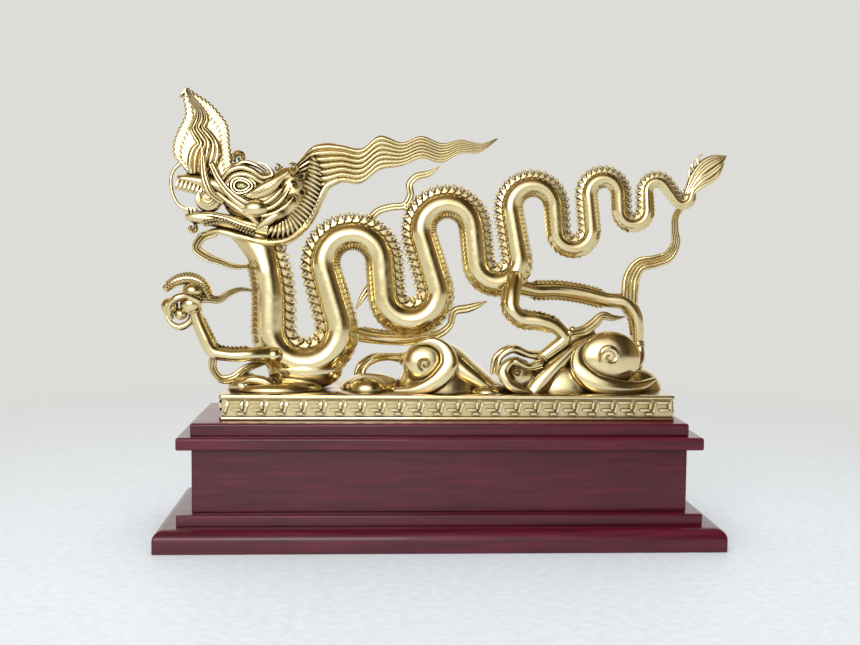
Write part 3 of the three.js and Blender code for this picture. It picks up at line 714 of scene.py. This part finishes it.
def eye(side):
    """An almond eye within rings of lids."""
    x, z = EYE
    eyeball = ball(x, side * 13.5, z, 5.4, 2.6, 3.2, 14, 8)
    pupil = ball(x - 0.5, side * 15.4, z + 0.2, 1.7, 1.2, 1.7, 10, 6)
    turn = np.linspace(0, 2 * math.pi + 0.15, 22)
    shells = [eyeball, pupil]
    for half_x, half_z, y in EYELIDS:
        ring_x = x + half_x * np.cos(turn)
        ring_z = z + half_z * np.sin(turn) * (1 - 0.25 * np.cos(turn))
        shells.append(sweep([[a, side * y, b, 1.1, 1.7] for a, b in zip(ring_x, ring_z)], oval(6), 1.6))
    return shells


def head_sides():
    shells = [shell for stations, profile in HEAD_RELIEF for shell in both_sides(stations, profile)]
    for path, radius in ((CHEEK_BEADS, 1.5), (JAW_BEADS, 1.5), (LOWER_JAW_BEADS, 1.4)):
        shells += beads(path, radius, BEAD_SPACING) + beads(mirrored(path), radius, BEAD_SPACING)
    for side in (-1, 1):
        cheek = ball(-169, side * 10, 298, 14, 8.5, 9, 18, 10)
        shells += [*eye(side), cheek]
        for x, z, radius, start in TEMPLE_CURLS:
            shells.append(scroll(x, side * 13, z, radius, 0.3 * radius, 3.2, 1.2, start))
    forehead_curl = scroll(-184, 0, 344.5, 10, 4, 5, 1.2, 3.9)
    forehead = ball(-186, 0, 334, 9, 9, 6)
    return [*shells, forehead_curl, forehead]


COMB_MIDDLE = [[-163, 279], [-146, 278], [-134, 283], [-125, 297], [-119, 314], [-115, 332], [-116, 344]]


def cheek_comb():
    """The pleated comb round the cheek: a band with slanted strokes across it."""
    middle = smooth_rows([[x, 0, z] for x, z in COMB_MIDDLE], 4)
    along = unit(np.gradient(middle, axis=0))
    outward = np.cross(Y_AXIS, along)
    width = 2.5 + 7 * np.sin(math.pi * np.linspace(0, 1, len(middle))) ** 0.7
    shells = [sweep(np.column_stack([middle, 0.9 * width, np.full(len(middle), 7)]), oval(12), 3)]
    for point, out, forth, half in zip(middle, outward, along, width):
        inner = point + half * out - 3 * forth - 7 * Y_AXIS
        front = point - 9 * Y_AXIS
        outer = point - 1.05 * half * out + 1.5 * forth - 7 * Y_AXIS
        shells += both_sides([[*inner, 1.1, 2], [*front, 2.2, 2.4], [*outer, 1.6, 2]], oval(7), 2.5)
    return shells


THROAT = [
    [-218, 0, 273, 3, 6], [-205, 0, 277, 3.4, 9], [-184, 0, 273, 4, 12.5], [-157, 0, 267.5, 4.6, 14.5],
    [-139, 0, 270.5, 4.8, 13], [-127.5, 0, 280, 4.8, 10], [-117, 0, 294, 4.6, 7.5], [-111, 0, 308, 4.5, 6.5],
    [-104, 0, 320, 4.2, 5.5], [-94, 0, 325, 3.5, 5],
]
BEARD = [
    [-206, 0, 276, 4, 5], [-219, 0, 271, 4.5, 5], [-224, 0, 262, 4.5, 4], [-215, 0, 254, 4.5, 4],
    [-202, 0, 249, 3.5, 3.5], [-191, 0, 245, 3, 3], [-174, 0, 245, 2.2, 3],
]
WHISKER = [
    [-237, 0, 340, 2], [-245, 0, 331, 1.7], [-246, 0, 314, 1.7], [-240, 0, 301, 1.8], [-224, 0, 294, 2.2],
]


def throat_and_beard():
    return [sweep(THROAT, oval(14)), sweep(BEARD, strands(3), 2), sweep(WHISKER, oval(10), 2)]


# Mane: wavy locks that run back from the head to one point: x, z and half-height of each upright slice
MANE = [
    (-132, 331, 9), (-118, 337, 19), (-106, 338, 21), (-90.5, 340, 17.5), (-74, 338, 16.5),
    (-55.5, 350.5, 16), (-35, 349.5, 11), (-18, 356, 10.5), (2, 351, 9), (19, 357, 6.5), (37, 356, 4.5),
    (53, 364.5, 0.8),
]
MANE_HALF_DEPTH = (9, 1)


def mane():
    rows = smooth_rows([(x, 0, z, w) for x, z, w in MANE], 2.8)
    share = np.linspace(0, 1, len(rows))
    depth = ramp(MANE_HALF_DEPTH, share**0.6)
    profile = strands(7, 0.42, 5)
    up = np.maximum(rows[:, 3], TIP)[:, None] * profile[:, 0]
    forwards = depth[:, None] * profile[:, 1]
    rings = rows[:, None, :3] + np.stack([0 * up, forwards, up], axis=2)
    return [skin(rings)]


# Rocks and curling clouds under the dragon
CRESCENTS = [
    [[-42, -28, 133, 2.5], [-20, -33, 135, 6], [-1, -34, 145, 8.5], [8, -33, 159, 8.5], [4, -31, 172, 6],
     [-8, -29, 179, 4], [-20, -27, 177, 1.5]],
    [[88, -28, 131, 2], [74, -33, 134, 4.5], [61, -35, 142, 5], [57, -34, 152, 5], [63, -33, 160, 4],
     [72, -31, 162, 2.5], [78, -30, 158, 1]],
    [[202, -14, 143, 1.5], [184, -23, 136.5, 6], [160, -28, 136, 9], [139, -28, 143, 9.5],
     [127, -25, 157, 7.5], [128, -21, 170, 5], [136, -19, 179, 2]],
]
DOMES = [(-13, -22, 158, 21, 10, 20), (72, -22, 146, 16, 11, 17), (157, -18, 162, 30, 12, 26)]
CURLS = [  # x, y, z, radius, start of the turn
    (-14, -31, 158, 9, 4.4), (70, -33, 150, 7, 4.4), (156, -29, 165, 14, 3.6), (-150, -26, 143, 9, 2.5),
    (-175, -27, 141, 8, 0.5),
]
MOUNDS = [
    (-150, -10, 133, 44, 28, 11), (-178, -12, 136, 16, 18, 13), (-124, 0, 149, 35, 15.8, 19),
    (-62, 4, 132, 30, 30, 14), (-66, -20, 134, 18, 16, 12), (2, -2, 130, 42, 34, 34),
    (116, -8, 131, 38, 20, 31), (188, 10, 128, 26, 26, 24), (44, -24, 131, 16, 14, 9),
]
LEFT_SWIRL = [
    [-186, -24, 136, 2, 3], [-172, -28, 143, 4, 4], [-158, -29, 141, 4.5, 4], [-146, -28, 134, 3, 3],
]
HOCK_ROCK = [
    [146, -4, 184, 7, 14], [126, -8, 172, 9, 16], [108, -13, 157, 10, 17], [93, -16, 141, 13, 17],
    [80, -18, 122, 14, 17],
]
SLOPE = [
    [-14, -6, 168, 9, 16], [6, -8, 162, 14, 20], [26, -10, 148, 13, 22], [46, -10, 136, 9, 22],
    [62, -10, 128, 5, 20],
]


def crescent(stations):
    ring = oval(16)
    flat_faced = np.sign(ring) * np.abs(ring) ** 0.6
    return sweep([[x, y, z, w, 0.6 * w + 3] for x, y, z, w in stations], flat_faced, 2.2)


def ground():
    return [
        *[ball(*mound) for mound in MOUNDS],
        *[ball(*dome, 26, 14) for dome in DOMES],
        *[crescent(stations) for stations in CRESCENTS],
        *[scroll(x, y, z, radius, 0.27 * radius, 3.5, 1.3, start) for x, y, z, radius, start in CURLS],
        sweep(LEFT_SWIRL, oval(10)),
        sweep(HOCK_ROCK, oval(16)),
        sweep(SLOPE, oval(20)),
    ]


# Key fret: one unit of the running line, in shares of the pitch and of the band's height
FRET_PITCH = 17.8
FRET_LINE = [(-0.3, 0), (0, 0), (0.18, 1), (0.88, 1), (0.88, 0.34), (0.42, 0.34)]
FRET_HALF_LINE = 1.1
FRET_MARGIN = 2.8
FRET_END = 4  # length left plain at each end of a side


def fret_stroke(start, end, origin, along, out):
    """A raised bar between two points of the fret line, on a face that looks along out."""
    start, end = np.array(start, float), np.array(end, float)
    forth = (end - start) / np.linalg.norm(end - start) * FRET_HALF_LINE
    side = np.array([-forth[1], forth[0]])
    corners = [start - forth - side, end + forth - side, end + forth + side, start - forth + side]
    up = np.array([0, 0, 1])

    def place(corner, level):
        return origin + along * corner[0] + up * corner[1] + out * level

    rings = [[place(corner, level) for corner in corners] for level in (-0.6, 0.75 * BASE_RELIEF)]
    top = [place(0.86 * corner + 0.14 * (start + end) / 2, BASE_RELIEF) for corner in corners]
    return skin(np.array([*rings, top]))


def key_fret(x, y, along, length, out):
    """The running line along one side of the base, from the corner at x, y."""
    low = PLINTH_TOP + BASE_RIM + FRET_MARGIN
    high = BASE_TOP - BASE_RIM - FRET_MARGIN
    origin = np.array([x, y, low])
    run = length - 2 * FRET_END
    count = round(run / FRET_PITCH)
    pitch = run / count
    shells = []
    for i in range(count):
        points = [(FRET_END + (i + 0.06 + u) * pitch, v * (high - low)) for u, v in FRET_LINE]
        points[0] = (max(points[0][0], FRET_END), points[0][1])
        shells += [fret_stroke(a, b, origin, along, out) for a, b in zip(points, points[1:])]
    return shells


def brass_base():
    """A block with softened edges and a sunk band on its four sides, which holds the key fret."""
    half_x, half_y = BASE["length"] / 2, BASE["depth"] / 2
    left, right = BASE["x"] - half_x, BASE["x"] + half_x
    soft = BASE_ROUNDING
    low, high = PLINTH_TOP + BASE_RIM, BASE_TOP - BASE_RIM
    levels = [
        (PLINTH_TOP, soft), (PLINTH_TOP + 0.3 * soft, 0.3 * soft), (PLINTH_TOP + soft, 0), (low - 0.5, 0),
        (low, 0.4), (low + 0.3, BASE_RELIEF), (high - 0.3, BASE_RELIEF), (high, 0.4), (high + 0.5, 0),
        (BASE_TOP - soft, 0), (BASE_TOP - 0.3 * soft, 0.3 * soft), (BASE_TOP, soft),
    ]
    x_way, y_way = np.array([1.0, 0, 0]), Y_AXIS
    sunk = BASE_RELIEF
    return [
        rounded_block((left, -half_y), (right, half_y), levels, BASE_CORNER),
        *key_fret(left, sunk - half_y, x_way, BASE["length"], -y_way),
        *key_fret(right, half_y - sunk, -x_way, BASE["length"], y_way),
        *key_fret(right - sunk, -half_y, y_way, BASE["depth"], x_way),
        *key_fret(left + sunk, half_y, -y_way, BASE["depth"], -x_way),
    ]


# Meshes
def facing_out(points, faces):
    """The faces, turned round if they look inwards."""
    corners = np.array([(face[0], i, j) for face in faces for i, j in zip(face[1:], face[2:])])
    a, b, c = points[corners].transpose(1, 0, 2)
    volume = np.einsum("ij,ij->", a, np.cross(b, c))
    return faces if volume > 0 else [face[::-1] for face in faces]


def add_object(name, data):
    thing = bpy.data.objects.new(name, data)
    scene.collection.objects.link(thing)
    return thing


def cast(name, shells):
    """One object, in metres, of overlapping closed shells."""
    points, faces, first = [], [], 0
    for shell_points, shell_faces in shells:
        points.append(shell_points * MM)
        faces += [tuple(first + i for i in face) for face in facing_out(shell_points, shell_faces)]
        first += len(shell_points)
    mesh = bpy.data.meshes.new(name)
    mesh.from_pydata(np.concatenate(points).tolist(), [], faces)
    return add_object(name, mesh)


def soften(piece, angle):
    """Smooth shading except over edges sharper than the angle in degrees."""
    piece.data.shade_smooth()
    piece.data.set_sharp_from_angle(angle=math.radians(angle))


def dragon_shells():
    return [
        *brass_base(), *body(), *crest(), *belly(), *tail_tuft(), *legs(), *near_forepaw(), *spread_paws(),
        *ribbons(), *head_core(), *head_crest(), *head_sides(), *cheek_comb(), *throat_and_beard(), *mane(),
        *ground(),
    ]


# Materials
ROOM_TONE = (0.725, 0.72, 0.69, 1)
BRASS_TONES = (0.87, 0.75, 0.45, 1), (0.79, 0.66, 0.35, 1)
# brown painted shade on low ground that faces up
GROUND_SHADE_BROWN = (0.34, 0.22, 0.08, 1)
# brown of the patina in the hollows, which also paints the shade that falls there
HOLLOW_PATINA_AND_SHADE_BROWN = (0.17, 0.10, 0.03, 1)
HOLLOW_REACH = 6  # distance within which other surfaces darken a hollow
GROUND_SHADE_HEIGHTS = (134, 152)  # heights between which the painted brown shade on the ground fades out
LACQUER_TONES = (0.056, 0.003, 0.012, 1), (0.106, 0.006, 0.022, 1)
PAPER_TONES = (0.63, 0.70, 0.77, 1), (0.71, 0.78, 0.85, 1)


def node_material(name):
    """A new material, with its node tree, its shader and the place on the object that textures read."""
    material = bpy.data.materials.new(name)
    material.use_nodes = True
    tree = material.node_tree
    place = add_node(tree, "ShaderNodeTexCoord").outputs["Object"]
    return material, tree, tree.nodes["Principled BSDF"].inputs, place


def feed(tree, socket, value):
    """Link a node's output to the socket, or set the socket to a plain value."""
    if hasattr(value, "is_linked"):
        tree.links.new(value, socket)
    else:
        socket.default_value = value


def add_node(tree, kind, inputs=(), **settings):
    node = tree.nodes.new(kind)
    for key, value in settings.items():
        setattr(node, key, value)
    for key, value in dict(inputs).items():
        feed(tree, node.inputs[key], value)
    return node


def calculate(tree, operation, *values):
    return add_node(tree, "ShaderNodeMath", dict(enumerate(values)), operation=operation).outputs[0]


def blend_colour(tree, factor, first, second):
    node = add_node(tree, "ShaderNodeMix", data_type="RGBA")
    for key, value in (("Factor_Float", factor), ("A_Color", first), ("B_Color", second)):
        feed(tree, next(socket for socket in node.inputs if socket.identifier == key), value)
    return next(socket for socket in node.outputs if socket.identifier == "Result_Color")


def map_range(tree, value, from_min, from_max, to_min, to_max):
    limits = {"From Min": from_min, "From Max": from_max, "To Min": to_min, "To Max": to_max}
    return add_node(tree, "ShaderNodeMapRange", {"Value": value, **limits}).outputs["Result"]


def noise(tree, place, scale, detail=3.0):
    inputs = {"Vector": place, "Scale": scale, "Detail": detail}
    return add_node(tree, "ShaderNodeTexNoise", inputs).outputs["Fac"]


def bumps(tree, height, strength, distance):
    inputs = {"Height": height, "Strength": strength, "Distance": distance}
    return add_node(tree, "ShaderNodeBump", inputs).outputs["Normal"]


def z_part(tree, vector):
    return add_node(tree, "ShaderNodeSeparateXYZ", {"Vector": vector}).outputs["Z"]


def polished_brass():
    """Pale polished brass; brown patina with painted shade in the hollows, and painted brown shade on low
    ground that faces up.
    """
    material, tree, shader, place = node_material("polished_brass")
    reach = {"Distance": HOLLOW_REACH * MM}
    # ambient occlusion darkens the hollows brown: patina, with painted shade along with it
    hollow = add_node(tree, "ShaderNodeAmbientOcclusion", reach, samples=8, only_local=True).outputs["AO"]
    free_of_patina_and_shade = map_range(tree, hollow, 0.28, 0.9, 0, 1)
    clouds = map_range(tree, noise(tree, place, 28), 0.35, 0.7, 0, 1)
    metal = blend_colour(tree, clouds, *BRASS_TONES)
    normal = add_node(tree, "ShaderNodeNewGeometry").outputs["Normal"]
    # painted brown shade on low surfaces that face up
    low = map_range(tree, z_part(tree, place), GROUND_SHADE_HEIGHTS[0] * MM, GROUND_SHADE_HEIGHTS[1] * MM, 0.75, 0)
    level = map_range(tree, z_part(tree, normal), 0.45, 0.95, 0, 1)
    metal = blend_colour(tree, calculate(tree, "MULTIPLY", low, level), metal, GROUND_SHADE_BROWN)
    streaks = map_range(tree, noise(tree, place, 160, 5), 0.3, 0.75, 0.13, 0.24)
    worn = map_range(tree, free_of_patina_and_shade, 0, 1, 0.3, 0)
    feed(tree, shader["Base Color"], blend_colour(tree, free_of_patina_and_shade, HOLLOW_PATINA_AND_SHADE_BROWN, metal))
    feed(tree, shader["Roughness"], calculate(tree, "ADD", streaks, worn))
    feed(tree, shader["Normal"], bumps(tree, noise(tree, place, 70, 2), 0.12, 0.002))
    shader["Metallic"].default_value = 1.0
    return material


def lacquered_wood():
    """Dark red lacquer over straight-grained wood."""
    material, tree, shader, place = node_material("lacquered_wood")
    stretch = {"Vector": place, "Scale": (1.0, 14.0, 14.0)}
    stretched = add_node(tree, "ShaderNodeMapping", stretch).outputs["Vector"]
    grain = map_range(tree, noise(tree, stretched, 14, 6), 0.35, 0.68, 0, 1)
    feed(tree, shader["Base Color"], blend_colour(tree, grain, *LACQUER_TONES))
    feed(tree, shader["Roughness"], map_range(tree, grain, 0, 1, 0.3, 0.4))
    feed(tree, shader["Normal"], bumps(tree, grain, 0.04, 0.0005))
    shader["Coat Weight"].default_value = 0.3
    shader["Coat Roughness"].default_value = 0.06
    shader["Specular IOR Level"].default_value = 0.32
    return material


def floor_paper():
    """Pale mottled paper that fades into the room's own tone far from the object."""
    material, tree, shader, place = node_material("floor_paper")
    mottle = map_range(tree, noise(tree, place, 120, 4), 0.3, 0.7, 0, 1)
    feed(tree, shader["Base Color"], blend_colour(tree, mottle, *PAPER_TONES))
    feed(tree, shader["Normal"], bumps(tree, noise(tree, place, 260, 2), 0.2, 0.001))
    shader["Roughness"].default_value = 0.6
    distance = add_node(tree, "ShaderNodeVectorMath", {0: place}, operation="LENGTH").outputs["Value"]
    far = map_range(tree, distance, 0.35, 1.3, 0, 1)
    paper = tree.nodes["Principled BSDF"].outputs[0]
    glow = add_node(tree, "ShaderNodeEmission", {"Color": ROOM_TONE}).outputs[0]
    fade = add_node(tree, "ShaderNodeMixShader", {0: far, 1: paper, 2: glow}).outputs[0]
    feed(tree, tree.nodes["Material Output"].inputs["Surface"], fade)
    return material


# Plinth: each board takes its size from the solid that it stands for
BOARD_EASE = {
    "foot_board": 9.0, "lower_step_board": 1.6, "plinth_box": 1.2, "upper_ledge_board": 2.2, "top_board": 2.2,
}
BOARD_BROKEN_EDGE = 0.6
BOARD_CORNER = 1.5


def plinth_board(node, ease):
    """A board with its upper edges rounded by ease and its lower edges just broken."""
    low, high = (np.array(corner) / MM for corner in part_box(node))
    quarter = np.linspace(0, math.pi / 2, 7)
    levels = [(low[2], BOARD_BROKEN_EDGE), (low[2] + BOARD_BROKEN_EDGE, 0)]
    levels += [(high[2] - ease + ease * math.sin(a), ease * (1 - math.cos(a))) for a in quarter]
    board = cast("lacquered_" + node, [rounded_block(low, high, levels, BOARD_CORNER)])
    soften(board, SHARP_ANGLE["wood"])
    return board


# Camera at the photograph's angle, for a frame of 860 by 645
CAMERA_PLACE = (-0.0641, -1.1085, 0.2735)
CAMERA_YAW, CAMERA_PITCH, CAMERA_ROLL = np.radians([2.891, 4.108, 0.498])
CAMERA_LENS = 49.9


def make_camera():
    data = bpy.data.cameras.new("camera")
    data.lens = CAMERA_LENS
    data.sensor_width = 36
    camera = add_object("camera", data)
    camera.location = CAMERA_PLACE
    camera.rotation_mode = "QUATERNION"
    right = np.array([math.cos(CAMERA_YAW), -math.sin(CAMERA_YAW), 0])
    level = np.array([math.sin(CAMERA_YAW), math.cos(CAMERA_YAW), 0])
    ahead = math.cos(CAMERA_PITCH) * level - np.array([0, 0, math.sin(CAMERA_PITCH)])
    up = np.cross(right, ahead)
    turned_right = math.cos(CAMERA_ROLL) * right + math.sin(CAMERA_ROLL) * up
    turned_up = np.cross(turned_right, ahead)
    axes = np.stack([turned_right, turned_up, -ahead], axis=1)
    camera.rotation_quaternion = Matrix(axes.tolist()).to_quaternion()
    scene.camera = camera


def make_stage():
    size = 12.0  # half the floor's width, in metres
    corners = [(-size, -size, 0), (size, -size, 0), (size, size, 0), (-size, size, 0)]
    mesh = bpy.data.meshes.new("floor")
    mesh.from_pydata(corners, [], [(0, 1, 2, 3)])
    mesh.materials.append(floor_paper())
    floor = add_object("floor", mesh)


def soft_light(name, place, target, size, power):
    data = bpy.data.lights.new(name, "AREA")
    data.shape = "RECTANGLE"
    data.size, data.size_y = size
    data.energy = power
    light = add_object(name, data)
    light.location = place
    light.rotation_mode = "QUATERNION"
    light.rotation_quaternion = (Vector(target) - Vector(place)).to_track_quat("-Z", "Y")
    return light


# Room that the brass reflects
WINDOW = (-0.22, -0.93, 0.29)  # direction of the bright window
WINDOW_EDGE = (0.76, 0.96)  # cosines of the angles from that direction between which it fades
WINDOW_TONE = (1.5, 1.5, 1.5, 1)
DOOR_X = 0.55  # place of the dark doorway, along x on a unit sphere
DOOR_EDGE = (0.15, 0.4)  # distances from its middle between which it fades
WALL_TONE = (0.27, 0.18, 0.075, 1)
DOOR_TONE = (0.06, 0.042, 0.018, 1)


def make_light():
    """A dim brown room with a bright window in front, a dark doorway to the right and pale paper behind."""
    world = bpy.data.worlds.new("studio")
    scene.world = world
    world.use_nodes = True
    tree = world.node_tree
    direction = add_node(tree, "ShaderNodeTexCoord").outputs["Generated"]
    parts = add_node(tree, "ShaderNodeSeparateXYZ", {"Vector": direction}).outputs
    angle = add_node(tree, "ShaderNodeVectorMath", {0: direction, 1: WINDOW}, operation="DOT_PRODUCT")
    window = map_range(tree, angle.outputs["Value"], *WINDOW_EDGE, 0, 1)
    behind = map_range(tree, parts["Y"], 0.4, 0.9, 0, 0.7)
    bright = calculate(tree, "MAXIMUM", window, behind)
    off_door = calculate(tree, "ABSOLUTE", calculate(tree, "SUBTRACT", parts["X"], DOOR_X))
    door = map_range(tree, off_door, *DOOR_EDGE, 1, 0)
    dim = blend_colour(tree, door, WALL_TONE, DOOR_TONE)
    room = blend_colour(tree, bright, dim, WINDOW_TONE)
    seen = add_node(tree, "ShaderNodeLightPath").outputs["Is Camera Ray"]
    feed(tree, tree.nodes["Background"].inputs["Color"], blend_colour(tree, seen, room, ROOM_TONE))
    soft_light("front", place=(-0.5, -1.6, 0.7), target=(0, 0, 0.2), size=(1.0, 0.6), power=9)
    overhead = soft_light("overhead", place=(0, -0.3, 1.9), target=(0, 0, 0), size=(2.6, 2.6), power=42)
    overhead.visible_glossy = False


def main():
    make_camera()
    dragon = cast("brass_dragon", dragon_shells())
    soften(dragon, SHARP_ANGLE["brass"])
    dragon.data.materials.append(polished_brass())
    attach(dragon, "root")
    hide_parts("dragon")
    wood = lacquered_wood()
    for node, ease in BOARD_EASE.items():
        board = plinth_board(node, ease)
        board.data.materials.append(wood)
        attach(board, "root")
        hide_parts(node)
    make_stage()
    make_light()
    scene.view_settings.view_transform = "Standard"


main()
